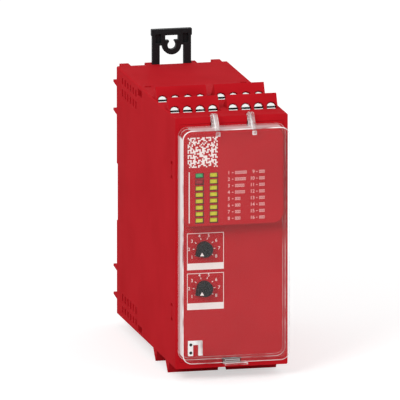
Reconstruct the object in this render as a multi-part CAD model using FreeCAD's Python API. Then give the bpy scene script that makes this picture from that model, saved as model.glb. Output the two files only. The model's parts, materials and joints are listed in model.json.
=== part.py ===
"""Safety relay module for a 35 mm mounting rail: housing, plug-in terminals, cover, boards."""
import FreeCAD
import Part
import math
import os

Vector = FreeCAD.Vector

# Frame: X to the right seen from the front, +Y towards the rail, +Z up.
# The origin is the centre of the rail seat on the rear face. All sizes are millimetres.

# --- housing
WIDTH = 45.0                 # across the module
HEIGHT = 100.0               # body, without the terminal tips
DEPTH = 104.5                # rear face to the front rim
SIDE_WALL = 1.8
TOP_WALL = 2.0
RIM_WALL = 2.6               # top and bottom wall at the front rim
REAR_WALL = 2.0
EDGE_ROUND = 0.6
HALF_W = WIDTH / 2
HALF_H = HEIGHT / 2
INNER_X = HALF_W - SIDE_WALL
FRONT = -DEPTH

# --- plug-in terminals
POLE_PITCH = 5.08
POLES = 4
PLUG_X = 11.7                # centre of each plug from the middle plane
PLUG_WIDTH = 20.1
PLUG_TIPS = {"rear": -66.2, "front": -87.7}
TIP_Z = 54.9
PLUG_BACK = 4.7              # from the tip back to the rear wall of a plug
PLUG_FRONT = 6.2             # from the tip forward to the front wall of a plug
PLUG_BOTTOM = 34.0
PLUG_SHELF = 46.0            # foot of the inclined screw face
SCREW_TILT = 27.6            # screw face from the vertical, degrees
PLUG_FIT = 0.1
POCKET_FLOOR = 32.0
FLOOR_THICK = 1.6
SCREW_Z = 50.0               # where a screw axis meets the inclined face
HEAD_RADIUS = 1.9
WELL_RADIUS = 2.1
ROUND_SIDES = 10             # sides of the screw heads and their wells
SHANK_SIDES = 6
CHAMBER_BOTTOM = 39.4        # room of the clamp cage
CHAMBER_TOP = 45.9
PIN = 1.0
PIN_TOP = 41.5
PIN_FORWARD = 1.2            # pins in front of the tip line

# --- cover, hinged at the top edge
COVER_HALF_W = 21.1
COVER_HALF_H = 46.5
COVER_FRONT = -113.0
COVER_WALL = 1.1
COVER_CORNER = 3.8
COVER_EDGE = 0.4             # chamfer round the front face
COVER_GAP = 0.15
HINGE_Y = -102.0
HINGE_Z = 49.0
HINGE_X = 7.3
ARM_WIDTH = 1.8
HINGE_PIN_RADIUS = 0.6
STUB_REACH = 1.3             # pivot stub beyond the outer side of its arm
ARM_FIT = 0.2                # arm to the sides of its slot
TURN_FIT = 0.05

# --- front panel
PANEL_THICK = 1.8
RAISED_FACE = -110.0
RAISED_HALF_W = 19.6
RAISED_BOTTOM = 7.6
RAISED_TOP = 45.0
RAISED_EDGE = 0.4            # chamfer round the raised face
LED_WIDTH = 3.0
LED_HEIGHT = 1.7
LED_COLUMNS = (-14.1, -8.4)
LED_ROWS = 8
LED_FIRST_Z = 28.0
LED_STEP = 2.56
DIAL_X = -11.0
DIAL_Z = {"start": -2.4, "function": -18.1}
KNOB_RADIUS = 3.2
KNOB_FRONT = -107.6
SHAFT_RADIUS = 1.8
POINTER_ANGLE = -126.0       # clockwise from straight up, seen from the front

# --- rear side
RAIL_HALF = 17.5             # half the height of the mounting rail
FLANGE_SLOT = 1.3
HOOK_REACH = 4.0
LUG_HALF_W = 7.8
LUG_Y0 = 0.4
LUG_Y1 = 2.8
LUG_TOP = 63.9
EYE_Z = 57.4                 # keyhole of the pulled-out lug
EYE_RADIUS = 1.7
GUIDE_OUTER = 10.2
SPRING_FOOT = -42.8
SPRING_LENGTH = 14.6

# --- boards
BOARD = 1.6
BOARD_TOP = POCKET_FLOOR - FLOOR_THICK - 2.0
DISPLAY_FRONT = -98.0


def box(x0, x1, y0, y1, z0, z1):
    """Axis-aligned box between two corners given in any order."""
    low = Vector(min(x0, x1), min(y0, y1), min(z0, z1))
    return Part.makeBox(abs(x1 - x0), abs(y1 - y0), abs(z1 - z0), low)


def side_prism(points, x0, x1):
    """Prism whose outline is given as (y, z) points, from x0 to x1."""
    loop = [Vector(x0, y, z) for y, z in points]
    wire = Part.makePolygon(loop + [loop[0]])
    return Part.Face(wire).extrude(Vector(x1 - x0, 0, 0))


def front_prism(points, y0, y1):
    """Prism whose outline is given as (x, z) points, from y0 to y1."""
    loop = [Vector(x, y0, z) for x, z in points]
    wire = Part.makePolygon(loop + [loop[0]])
    return Part.Face(wire).extrude(Vector(0, y1 - y0, 0))


def rod(radius, start, direction, length):
    return Part.makeCylinder(radius, length, start, direction)


def many_sided_rod(radius, start, direction, length, sides):
    """Regular prism that stands in for a round one where the same feature repeats many times."""
    side = Vector(0, 1, 0) if abs(direction.x) > 0.9 else Vector(1, 0, 0)
    across = direction.cross(side).normalize()
    spin = FreeCAD.Rotation(direction, 360.0 / sides)
    loop = [start + across * radius]
    for _ in range(sides - 1):
        loop.append(start + spin.multVec(loop[-1] - start))
    face = Part.Face(Part.makePolygon(loop + [loop[0]]))
    return face.extrude(direction * length)


def fuse_all(body, parts):
    return body.multiFuse(parts).removeSplitter()


def mirror_z(shape):
    return shape.mirror(Vector(0, 0, 0), Vector(0, 0, 1))


def half_turn(shape):
    """The same piece turned 180 degrees about Y, as it sits in the lower terminal rows."""
    turned = shape.copy()
    turned.rotate(Vector(0, 0, 0), Vector(0, 1, 0), 180)
    return turned


def edges_along(shape, axis, test=None):
    """Straight edges parallel to a unit axis, optionally filtered by their midpoint."""
    found = []
    for edge in shape.Edges:
        if len(edge.Vertexes) != 2 or edge.Curve.TypeId != "Part::GeomLine":
            continue
        run = edge.Vertexes[1].Point - edge.Vertexes[0].Point
        middle = (edge.Vertexes[1].Point + edge.Vertexes[0].Point) * 0.5
        if abs(abs(run.normalize().dot(axis)) - 1) < 1e-6 and (test is None or test(middle)):
            found.append(edge)
    return found


def rounded_plate(half_w, z0, z1, y0, y1, radii):
    """Upright plate whose four front-view corners have the radii
    (top left, top right, bottom right, bottom left)."""
    plate = box(-half_w, half_w, y0, y1, z0, z1)
    corners = ((-half_w, z1), (half_w, z1), (half_w, z0), (-half_w, z0))
    for (x, z), radius in zip(corners, radii):
        edge = edges_along(plate, Vector(0, 1, 0),
                           lambda m: abs(m.x - x) < 1e-3 and abs(m.z - z) < 1e-3)
        plate = plate.makeFillet(radius, edge)
    return plate


# ------------------------------------------------------------------ housing

def housing_shell():
    """Moulded case, open at the front, with solid terminal decks at top and bottom."""
    case = box(-HALF_W, HALF_W, FRONT, 0, -HALF_H, HALF_H)
    case = case.makeFillet(EDGE_ROUND, edges_along(case, Vector(0, 1, 0)))
    deck_inner = POCKET_FLOOR - FLOOR_THICK
    pocket_rear = PLUG_TIPS["rear"] + PLUG_BACK + PLUG_FIT
    pocket_front = PLUG_TIPS["front"] - PLUG_FRONT - PLUG_FIT
    bridge_rear = PLUG_TIPS["rear"] - PLUG_FRONT - PLUG_FIT
    bridge_front = PLUG_TIPS["front"] + PLUG_BACK + PLUG_FIT
    top_inner = HALF_H - TOP_WALL
    rim_inner = HALF_H - RIM_WALL
    rear_room = box(-INNER_X, INNER_X, -REAR_WALL, pocket_rear + FLOOR_THICK, -top_inner, top_inner)
    middle_room = box(-INNER_X, INNER_X, -2 * REAR_WALL, pocket_front - 2 * FLOOR_THICK,
                      -deck_inner, deck_inner)
    bridge_room = box(-INNER_X, INNER_X, bridge_rear - FLOOR_THICK, bridge_front + FLOOR_THICK,
                      -top_inner, top_inner)
    front_room = box(-INNER_X, INNER_X, pocket_front - FLOOR_THICK, FRONT - 1, -rim_inner, rim_inner)
    return case.cut([rear_room, middle_room, bridge_room, front_room])


def terminal_pockets():
    """The eight pockets for the plugs, with the pin slots through their floors."""
    tools = []
    for tip in PLUG_TIPS.values():
        for side in (-1, 1):
            middle = side * PLUG_X
            half = PLUG_WIDTH / 2 + PLUG_FIT
            pocket = box(middle - half, middle + half, tip + PLUG_BACK + PLUG_FIT,
                         tip - PLUG_FRONT - PLUG_FIT, POCKET_FLOOR, HALF_H + 1)
            tools.append(pocket)
            slot_y = tip - PIN_FORWARD
            slot = box(middle - half + 1, middle + half - 1, slot_y - 0.8, slot_y + 0.8,
                       POCKET_FLOOR - FLOOR_THICK - 1, POCKET_FLOOR + 1)
            tools.append(slot)
    return tools + [mirror_z(tool) for tool in tools]


def vent_slots():
    """Two rows of six vents near each rear corner of both side walls."""
    tools = []
    for row_top, row_height in ((47.4, 2.6), (42.8, 3.0)):
        for column in range(6):
            y = -9.5 - 4.82 * column
            tools.append(box(-HALF_W - 1, HALF_W + 1, y, y - 2.0, row_top - row_height, row_top))
    return tools + [mirror_z(tool) for tool in tools]


def snap_windows():
    """Windows where the inner frame and the front panel snap into the side walls."""
    tools = []
    for side in (-1, 1):
        outer = side * (HALF_W + 1)
        inner = side * (INNER_X - 0.5)
        frame_window = box(outer, inner, -38.2, -45.0, 46.2, 48.7)
        top_notch = box(side * 18.0, side * 20.5, -40.8, -43.2, HALF_H - 1.0, HALF_H + 1)
        panel_slit = box(outer, side * (HALF_W - 0.6), -97.8, -98.3, 25.0, 31.7)
        catch_high = box(outer, inner, -96.6, -99.4, 30.6, 31.8)
        catch_low = box(outer, inner, -96.6, -99.4, 24.9, 26.1)
        tools += [frame_window, top_notch, panel_slit, catch_high, catch_low]
    return tools + [mirror_z(tool) for tool in tools]


def hinge_slots():
    """Slots in the top rim that take the two hinge arms, and the bores of their pivots."""
    tools = []
    for side in (-1, 1):
        middle = side * HINGE_X
        half = ARM_WIDTH / 2 + ARM_FIT
        tools.append(box(middle - half, middle + half, FRONT - 1, HINGE_Y + 2.4,
                         HALF_H - RIM_WALL - 0.5, HALF_H + 1))
        tools.append(rod(HINGE_PIN_RADIUS + TURN_FIT, Vector(middle, HINGE_Y, HINGE_Z),
                         Vector(side, 0, 0), half + STUB_REACH))
    return tools


def rear_rib(z, x0, x1):
    """Tapered stand-off rib on the rear face."""
    outline = ((0, z + 1.35), (7.0, z + 0.45), (7.0, z - 0.45), (0, z - 1.35))
    return side_prism([(y - 0.2, level) if y == 0 else (y, level) for y, level in outline], x0, x1)


def rail_hook(x0, x1):
    """Fixed hook over the upper edge of the rail."""
    lip = RAIL_HALF - 1.9
    outline = ((-0.2, 24.6), (HOOK_REACH - 1.0, 24.6), (HOOK_REACH, 23.6), (HOOK_REACH, lip + 0.8),
               (HOOK_REACH - 0.8, lip), (FLANGE_SLOT, lip), (FLANGE_SLOT, RAIL_HALF + 0.2),
               (-0.2, RAIL_HALF + 0.2))
    return side_prism(outline, x0, x1)


def guide_rail(side):
    """Guide with an inward lip that holds a sliding lug against the rear face."""
    wall = box(side * (LUG_HALF_W + 0.3), side * GUIDE_OUTER, -0.2, 4.6, 26.5, HALF_H)
    lip = box(side * (LUG_HALF_W - 1.4), side * (LUG_HALF_W + 0.5), LUG_Y1 + 0.4, 4.6, 26.5, HALF_H)
    return [wall, lip]


def rear_features():
    parts = []
    for side in (-1, 1):
        for z in (42.9, 31.5):
            parts.append(rear_rib(z, side * 12.0, side * (HALF_W - 0.2)))
        parts.append(box(side * 16.7, side * 20.3, -0.2, 5.0, 44.0, HALF_H))
        parts += guide_rail(side)
    both = parts + [mirror_z(part) for part in parts]
    hooks = [rail_hook(side * 12.0, side * 20.3) for side in (-1, 1)]
    return both + hooks


def housing():
    body = fuse_all(housing_shell(), rear_features())
    tools = terminal_pockets() + vent_slots() + snap_windows() + hinge_slots()
    for side in (-1, 1):
        tools.append(box(side * 14.0, side * (HALF_W + 1), -2.0 + 0.4, 1, -12.0, 11.0))
    latch_slot = box(-3.9, 3.9, FRONT - 1, FRONT + 2.9, -HALF_H + 1.2, -HALF_H + RIM_WALL + 0.5)
    tools.append(latch_slot)
    return body.cut(tools)


# ------------------------------------------------------------------ terminals

def screw_frame(depth):
    """Point on a screw's axis at a depth below the screw face, with the tip line at y = 0."""
    tilt = math.radians(SCREW_TILT)
    face_y = -(TIP_Z - SCREW_Z) * math.tan(tilt)
    inward = Vector(0, math.cos(tilt), -math.sin(tilt))
    return Vector(0, face_y, SCREW_Z) + inward * depth, inward


def pole_places():
    return [(index - (POLES - 1) / 2) * POLE_PITCH for index in range(POLES)]


def repeat_poles(shape):
    copies = []
    for x in pole_places():
        copy = shape.copy()
        copy.translate(Vector(x, 0, 0))
        copies.append(copy)
    return copies


def plug_outline():
    shelf = (TIP_Z - PLUG_SHELF) * math.tan(math.radians(SCREW_TILT))
    return ((PLUG_BACK, PLUG_BOTTOM), (PLUG_BACK, HALF_H), (0.25, TIP_Z), (-0.15, TIP_Z),
            (-shelf, PLUG_SHELF), (-PLUG_FRONT, PLUG_SHELF), (-PLUG_FRONT, PLUG_BOTTOM))


def wire_funnel():
    """Square mouth on the rear slope that narrows down to the clamp chamber."""
    throat_x, throat_near, throat_far = 1.4, 1.6, 3.8
    mouth_x, mouth_near, mouth_far = 1.9, 0.9, 4.3
    funnel = Part.makeWedge(-throat_x, CHAMBER_TOP - 0.1, -throat_far, -mouth_far, -mouth_x,
                            throat_x, TIP_Z - 0.9, -throat_near, -mouth_near, mouth_x)
    funnel.rotate(Vector(0, 0, 0), Vector(1, 0, 0), 90)
    return funnel


def plug_housing():
    """Terminal plug body: inclined screw face, wire funnels, clamp chambers, pin sockets."""
    half = PLUG_WIDTH / 2
    body = side_prism(plug_outline(), -half, half)
    start, inward = screw_frame(-2.0)
    well = many_sided_rod(WELL_RADIUS, start, inward, 5.0, ROUND_SIDES)
    shank = many_sided_rod(1.4, start, inward, 7.2, SHANK_SIDES)
    chamber = box(-1.75, 1.75, 0.95, 4.15, CHAMBER_BOTTOM, CHAMBER_TOP)
    socket = box(-0.65, 0.65, -PIN_FORWARD - 0.65, -PIN_FORWARD + 0.65, PLUG_BOTTOM - 1, 43.0)
    tools = []
    for tool in (well.fuse(shank), wire_funnel().fuse(chamber), socket):
        tools += repeat_poles(tool)
    return body.cut(tools)


def terminal_screw():
    """Slotted zinc-plated clamp screw."""
    start, inward = screw_frame(0.55)
    head = many_sided_rod(HEAD_RADIUS, start, inward, 2.0, ROUND_SIDES)
    shank = many_sided_rod(1.25, start + inward * 1.9, inward, 2.6, SHANK_SIDES)
    slot = box(-3, 3, -0.4, 0.4, -1, 0.9)
    slot.rotate(Vector(0, 0, 0), Vector(1, 0, 0), 90 - SCREW_TILT + 180)
    slot.translate(start)
    return head.fuse(shank).removeSplitter().cut(slot)


def clamp_cage():
    """Steel cage that the screw closes on the wire."""
    outer = box(-1.7, 1.7, 1.0, 4.1, CHAMBER_BOTTOM + 0.1, CHAMBER_TOP - 0.1)
    inner = box(-1.2, 1.2, 1.5, 3.6, CHAMBER_BOTTOM - 1, CHAMBER_TOP + 1)
    return outer.cut(inner)


def header_base():
    """Pin carrier below a pocket floor, with one slot for its row of pins."""
    half = PLUG_WIDTH / 2 - 1.2
    deck = POCKET_FLOOR - FLOOR_THICK
    base = box(-half, half, -PIN_FORWARD - 3.0, -PIN_FORWARD + 3.0, deck - 1.9, deck - 0.1)
    reach = pole_places()[-1] + PIN / 2
    slot = box(-reach, reach, -PIN_FORWARD - PIN / 2, -PIN_FORWARD + PIN / 2, deck - 3, deck + 1)
    return base.cut(slot)


def header_pins():
    """Four square pins that stand on the terminal board and reach up into the plug."""
    half = PIN / 2
    pin = box(-half, half, -PIN_FORWARD - half, -PIN_FORWARD + half, BOARD_TOP, PIN_TOP)
    return repeat_poles(pin)


def at_row(shape, side, tip, upper):
    """Moves a piece from the tip line to its plug's place in one of the eight positions."""
    placed = shape.copy()
    placed.translate(Vector(side * PLUG_X, tip, 0))
    return placed if upper else half_turn(placed)


# ------------------------------------------------------------------ cover

def cover_tray():
    """Clear tray with round corners and bevelled front edges."""
    rim = FRONT - COVER_GAP
    outer = rounded_plate(COVER_HALF_W, -COVER_HALF_H, COVER_HALF_H, COVER_FRONT, rim,
                          (COVER_CORNER,) * 4)
    front_edges = [edge for edge in outer.Edges
                   if all(abs(v.Point.y - COVER_FRONT) < 1e-3 for v in edge.Vertexes)]
    outer = outer.makeChamfer(COVER_EDGE, front_edges)
    inner_corner = COVER_CORNER - COVER_WALL
    inner = rounded_plate(COVER_HALF_W - COVER_WALL, -COVER_HALF_H + COVER_WALL,
                          COVER_HALF_H - COVER_WALL, COVER_FRONT + COVER_WALL, rim + 1,
                          (inner_corner,) * 4)
    return outer.cut(inner)


def hinge_arm(side):
    """Arm from the cover's top wall over the rim into the hinge slot, with its pivot stub."""
    x0 = side * HINGE_X - ARM_WIDTH / 2
    x1 = side * HINGE_X + ARM_WIDTH / 2
    outline = ((HINGE_Y - 0.3, HINGE_Z + 1.15), (HINGE_Y - 2.4, HINGE_Z + 2.4), (-107.3, 51.8),
               (-108.3, 51.2), (-112.3, 46.4), (-112.3, 45.8), (-104.9, 45.8), (-104.9, 47.4),
               (HINGE_Y - 1.0, HINGE_Z - 0.6))
    plate = side_prism(outline, x0, x1)
    stub = rod(HINGE_PIN_RADIUS, Vector(side * HINGE_X, HINGE_Y, HINGE_Z), Vector(side, 0, 0),
               ARM_WIDTH / 2 + STUB_REACH)
    rib = box(x0, x1, COVER_FRONT - 0.35, COVER_FRONT + 0.5, 43.8, COVER_HALF_H - 1.0)
    return [plate, stub, rib]


def cover_latch():
    """Finger tab at the bottom edge and the tongue that enters the rim slot."""
    tab = box(-4.6, 4.6, COVER_FRONT - 0.5, COVER_FRONT + 3.0, -COVER_HALF_H - 0.9, -COVER_HALF_H + 0.6)
    tongue = side_prism(((FRONT - 2.0, -45.7), (FRONT - 0.3, -46.35), (FRONT + 2.3, -46.7), (FRONT + 2.6, -47.2),
                         (FRONT + 2.3, -48.3), (FRONT + 1.2, -48.3), (FRONT - 0.2, -47.4),
                         (FRONT - 2.0, -47.4)), -2.9, 2.9)
    return [tab, tongue]


def seal_eyelet():
    """Raised eyelet at the lower left corner, drilled for a sealing wire."""
    frame = box(-19.5, -13.7, COVER_FRONT - 1.2, COVER_FRONT + 0.5, -42.9, -36.9)
    channel = box(-17.5, -15.4, COVER_FRONT - 3, COVER_FRONT - 0.05, -44.0, -38.6)
    frame = frame.cut(channel)
    holes = [many_sided_rod(0.6, Vector(-18.5, COVER_FRONT - 3, z), Vector(0, 1, 0), 8, 8)
             for z in (-38.4, -41.6)]
    return frame, holes


def clear_cover():
    frame, holes = seal_eyelet()
    parts = hinge_arm(-1) + hinge_arm(1) + cover_latch() + [frame]
    body = fuse_all(cover_tray(), parts)
    return body.cut(holes)


# ------------------------------------------------------------------ front panel

def led_places():
    """Centre (x, z) of every indicator, column by column from the top."""
    return [(x, LED_FIRST_Z - LED_STEP * row) for x in LED_COLUMNS for row in range(LED_ROWS)]


def panel_body():
    """Inset plate with the raised display field and its hollow back."""
    rim_inner = HALF_H - RIM_WALL
    gap = 0.1
    plate = box(-INNER_X + gap, INNER_X - gap, FRONT, FRONT + PANEL_THICK,
                -rim_inner + gap, rim_inner - gap)
    raised = rounded_plate(RAISED_HALF_W, RAISED_BOTTOM, RAISED_TOP, RAISED_FACE, FRONT + 0.5,
                           (3.0, 3.0, 4.0, 1.6))
    face_edges = [edge for edge in raised.Edges
                  if all(abs(v.Point.y - RAISED_FACE) < 1e-3 for v in edge.Vertexes)]
    raised = raised.makeChamfer(RAISED_EDGE, face_edges)
    hollow = box(-RAISED_HALF_W + 1.6, RAISED_HALF_W - 1.6, RAISED_FACE + 1.6, FRONT + PANEL_THICK + 1,
                 RAISED_BOTTOM + 1.6, RAISED_TOP - 1.6)
    return fuse_all(plate, [raised]).cut(hollow)


def front_panel():
    body = panel_body()
    tools = []
    for x, z in led_places():
        tools.append(box(x - LED_WIDTH / 2 - 0.1, x + LED_WIDTH / 2 + 0.1, RAISED_FACE - 1,
                         RAISED_FACE + 3, z - LED_HEIGHT / 2 - 0.1, z + LED_HEIGHT / 2 + 0.1))
    for z in DIAL_Z.values():
        tools.append(rod(SHAFT_RADIUS + 0.35, Vector(DIAL_X, FRONT - 1, z), Vector(0, 1, 0), 6))
    for side in (-1, 1):
        middle = side * HINGE_X
        tools.append(box(middle - 1.2, middle + 1.2, FRONT - 1, FRONT + 3, 45.6, 48))
    tools.append(box(-3.9, 3.9, FRONT - 1, FRONT + 3, -46.2, -48))
    body = body.cut(tools)
    snaps = []
    for side in (-1, 1):
        for z in (28.35, -28.35):
            snaps.append(box(side * (INNER_X - 1.3), side * (INNER_X - 0.1), FRONT + 1.0, -96.6,
                             z - 2.0, z + 2.0))
    return fuse_all(body, snaps)


def indicators(places):
    """Light guides from the display board to the windows of the raised field."""
    return [box(x - LED_WIDTH / 2, x + LED_WIDTH / 2, RAISED_FACE + 0.3, DISPLAY_FRONT,
                z - LED_HEIGHT / 2, z + LED_HEIGHT / 2) for x, z in places]


def knob(z):
    """Rotary selector: pointed skirt, raised cap with a cross slot, and its shaft."""
    back = FRONT - 0.3
    angle = math.radians(POINTER_ANGLE)
    point = Vector(math.sin(angle), 0, math.cos(angle))
    across = Vector(point.z, 0, -point.x)
    centre = Vector(DIAL_X, 0, z)
    disc = rod(KNOB_RADIUS, Vector(DIAL_X, KNOB_FRONT, z), Vector(0, 1, 0), back - KNOB_FRONT)
    reach = KNOB_RADIUS * math.sqrt(2)
    loop = [centre + across * (KNOB_RADIUS * 0.7071) + point * (KNOB_RADIUS * 0.7071),
            centre + point * reach * 0.98,
            centre - across * (KNOB_RADIUS * 0.7071) + point * (KNOB_RADIUS * 0.7071), centre]
    corner = front_prism([(v.x, v.z) for v in loop], KNOB_FRONT + 1.0, back)
    body = disc.fuse(corner).removeSplitter()
    slots = []
    for turn in (0, 90):
        slot = box(-2.4, 2.4, KNOB_FRONT - 1, KNOB_FRONT + 1.0, -0.5, 0.5)
        slot.rotate(Vector(0, 0, 0), Vector(0, 1, 0), POINTER_ANGLE + turn)
        slot.translate(Vector(DIAL_X, 0, z))
        slots.append(slot)
    shaft = rod(SHAFT_RADIUS, Vector(DIAL_X, back - 0.2, z), Vector(0, 1, 0), 5.9)
    return body.cut(slots).fuse(shaft).removeSplitter()


def selector_switch(z):
    """Coding switch on the display board, bored for the knob's shaft."""
    front = FRONT + PANEL_THICK + 0.3
    body = box(DIAL_X - 4.6, DIAL_X + 4.6, front, DISPLAY_FRONT, z - 4.6, z + 4.6)
    bore = rod(SHAFT_RADIUS + TURN_FIT, Vector(DIAL_X, front - 1, z), Vector(0, 1, 0), 4.6)
    return body.cut(bore)


# ------------------------------------------------------------------ rail fixing

def lug_frame():
    """Two legs joined by a foot, with the eye head at the top."""
    head = box(-LUG_HALF_W, LUG_HALF_W, LUG_Y0, LUG_Y1, EYE_Z, LUG_TOP)
    band = box(-LUG_HALF_W - 0.35, LUG_HALF_W + 0.35, LUG_Y0, LUG_Y1, 61.2, LUG_TOP)
    legs = [box(side * 4.9, side * LUG_HALF_W, LUG_Y0, LUG_Y1, 33.0, 57.5) for side in (-1, 1)]
    foot = box(-LUG_HALF_W, LUG_HALF_W, LUG_Y0, LUG_Y1, 33.0, 36.0)
    loop = rod(3.8, Vector(0, LUG_Y0, EYE_Z), Vector(0, 1, 0), LUG_Y1 - LUG_Y0)
    return fuse_all(head, [band, foot, loop] + legs)


def fixing_lug():
    """Retractable lug: keyhole eye for a screw, pockets either side of it."""
    body = lug_frame()
    eye = rod(EYE_RADIUS, Vector(0, LUG_Y0 - 1, EYE_Z), Vector(0, 1, 0), 6)
    neck = box(-1.1, 1.1, LUG_Y0 - 1, LUG_Y1 + 1, EYE_Z, EYE_Z + 2.6)
    window = box(-2.65, 2.65, LUG_Y0 - 1, LUG_Y1 + 1, EYE_Z + 2.0, EYE_Z + 4.0)
    pockets = [box(side * 4.4, side * 6.6, LUG_Y0 - 1, LUG_Y0 + 1.4, 58.5, 62.0) for side in (-1, 1)]
    return body.cut([eye, neck, window] + pockets)


def rail_latch():
    """Sprung catch under the lower edge of the rail, with a pull eye below the housing."""
    plate = box(-LUG_HALF_W, LUG_HALF_W, LUG_Y0, LUG_Y1, -54.0, -RAIL_HALF - 0.3)
    catch = side_prism(((FLANGE_SLOT + 0.1, -RAIL_HALF - 0.4), (FLANGE_SLOT + 0.1, -15.8),
                        (HOOK_REACH, -17.6), (HOOK_REACH, -21.0), (LUG_Y1 - 0.2, -22.4),
                        (LUG_Y1 - 0.2, -RAIL_HALF - 0.4)), -LUG_HALF_W + 1.6, LUG_HALF_W - 1.6)
    body = fuse_all(plate, [catch])
    spring_window = box(-2.6, 2.6, LUG_Y0 - 1, LUG_Y1 + 1, -44.0, -28.0)
    eye = box(-4.0, 4.0, LUG_Y0 - 1, LUG_Y1 + 1, -52.6, -50.4)
    return body.cut([spring_window, eye])


def latch_spring():
    """Outer form of the compression spring between the housing's post and the latch."""
    foot = Vector(0, (LUG_Y0 + LUG_Y1) / 2, SPRING_FOOT)
    up = Vector(0, 0, 1)
    outer = many_sided_rod(1.25, foot, up, SPRING_LENGTH, ROUND_SIDES)
    return outer.cut(many_sided_rod(0.75, foot, up, SPRING_LENGTH, ROUND_SIDES))


def spring_seat():
    """Post on the rear face that the spring pushes from."""
    return box(-1.9, 1.9, -0.2, LUG_Y1, SPRING_FOOT - 1.0, SPRING_FOOT)


# ------------------------------------------------------------------ boards

def terminal_board():
    """Board that carries the headers and pins of the four upper plugs."""
    return box(-20.2, 20.2, -59.0, -95.0, BOARD_TOP - BOARD, BOARD_TOP)


def boards():
    return {
        "terminal_board_top": terminal_board(),
        "terminal_board_bottom": half_turn(terminal_board()),
        "display_board": box(-18.5, 18.5, DISPLAY_FRONT, DISPLAY_FRONT + BOARD, -30.0, 44.0),
        "logic_board": box(-18.4, -18.4 + BOARD, -4.0, -94.5, -26.0, 26.0),
        "relay_board": box(6.0, 6.0 + BOARD, -4.0, -94.5, -26.0, 26.0),
    }


def board_parts():
    return {
        "safety_relay_a": relay_block(-12.0),
        "safety_relay_b": relay_block(-54.0),
        "power_transformer": transformer(),
        "capacitors": [capacitor(-66.0), capacitor(-80.0)],
        "board_connectors": [box(-16.8, 6.0, -88.0, -92.0, z - 2.0, z + 2.0) for z in (-18.0, 18.0)],
    }


def relay_block(y):
    """Force-guided relay: sealed box with bevelled ends, upright on the relay board."""
    block = box(7.6, 19.6, y, y - 38.0, -20.0, 20.0)
    return block.makeChamfer(0.8, edges_along(block, Vector(1, 0, 0)))


def transformer():
    """Laminated core with the bobbin standing proud of it."""
    core = box(-16.7, 1.0, -14.0, -40.0, -14.0, 14.0)
    bobbin = box(-15.2, 3.6, -18.0, -36.0, -9.0, 9.0)
    return fuse_all(core, [bobbin])


def capacitor(y):
    return many_sided_rod(5.0, Vector(-16.8, y, 0), Vector(1, 0, 0), 17.0, 16)


# ------------------------------------------------------------------ assembly

def terminal_nodes():
    """Plug, screws, clamps and header of each of the eight places, and the pins in two groups."""
    plug = plug_housing()
    screws = repeat_poles(terminal_screw())
    clamps = repeat_poles(clamp_cage())
    header = header_base()
    pins = header_pins()
    nodes = {"header_pins_top": [], "header_pins_bottom": []}
    for level, upper in (("top", True), ("bottom", False)):
        for row, tip in PLUG_TIPS.items():
            for name, side in (("left", -1), ("right", 1)):
                place = side if upper else -side
                label = "_".join((level, row, name))
                nodes["plug_" + label] = at_row(plug, place, tip, upper)
                nodes["screws_" + label] = [at_row(s, place, tip, upper) for s in screws]
                nodes["clamps_" + label] = [at_row(c, place, tip, upper) for c in clamps]
                nodes["header_" + label] = at_row(header, place, tip, upper)
                nodes["header_pins_" + level] += [at_row(p, place, tip, upper) for p in pins]
    return nodes


def front_nodes():
    places = led_places()
    nodes = {
        "front_panel": front_panel(),
        "clear_cover": clear_cover(),
        "power_indicator": indicators(places[:1])[0],
        "error_indicator": indicators(places[1:2])[0],
        "input_indicators": indicators(places[2:]),
    }
    for name, z in DIAL_Z.items():
        nodes[name + "_knob"] = knob(z)
        nodes[name + "_switch"] = selector_switch(z)
    return nodes


def all_nodes():
    nodes = {"housing": fuse_all(housing(), [spring_seat()])}
    nodes.update(front_nodes())
    nodes.update({"fixing_lug": fixing_lug(), "rail_latch": rail_latch(), "latch_spring": latch_spring()})
    nodes.update(terminal_nodes())
    nodes.update(boards())
    nodes.update(board_parts())
    return nodes


def export(nodes):
    os.makedirs("parts", exist_ok=True)
    for name, shape in nodes.items():
        solid = Part.makeCompound(shape) if isinstance(shape, list) else shape
        solid.exportStep("parts/" + name + ".step")
        print(name, len(solid.Solids), solid.isValid(), round(solid.Volume, 1))


export(all_nodes())
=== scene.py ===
"""Safety relay module for a mounting rail: finishes, printed marks and a studio stage."""

import json
import math

import bmesh
import bpy
from bpy.props import FloatProperty, FloatVectorProperty, IntProperty, PointerProperty
from mathutils import Matrix, Vector


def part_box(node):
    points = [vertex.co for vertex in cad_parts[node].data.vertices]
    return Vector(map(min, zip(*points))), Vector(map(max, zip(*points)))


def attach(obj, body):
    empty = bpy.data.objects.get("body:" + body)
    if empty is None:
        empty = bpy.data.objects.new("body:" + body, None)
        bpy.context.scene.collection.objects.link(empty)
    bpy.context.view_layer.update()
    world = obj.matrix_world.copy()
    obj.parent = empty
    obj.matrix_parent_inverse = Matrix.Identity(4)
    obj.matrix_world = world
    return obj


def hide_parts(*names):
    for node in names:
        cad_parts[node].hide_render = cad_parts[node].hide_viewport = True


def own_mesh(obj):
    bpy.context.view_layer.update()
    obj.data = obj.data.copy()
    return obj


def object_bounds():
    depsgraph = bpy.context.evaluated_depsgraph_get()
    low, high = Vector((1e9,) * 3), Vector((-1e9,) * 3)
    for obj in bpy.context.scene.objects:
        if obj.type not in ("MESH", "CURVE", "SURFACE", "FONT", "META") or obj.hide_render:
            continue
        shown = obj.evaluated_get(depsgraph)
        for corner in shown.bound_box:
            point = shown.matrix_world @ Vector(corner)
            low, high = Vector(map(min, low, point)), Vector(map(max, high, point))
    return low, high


bl_info = {
    "name": "Safety Relay Module",
    "version": (1, 0, 0),
    "blender": (4, 5, 0),
    "location": "View3D > Sidebar > Relay",
    "description": "Finishes, printed marks and stage for a rail-mounted safety relay",
    "category": "Object",
}

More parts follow.
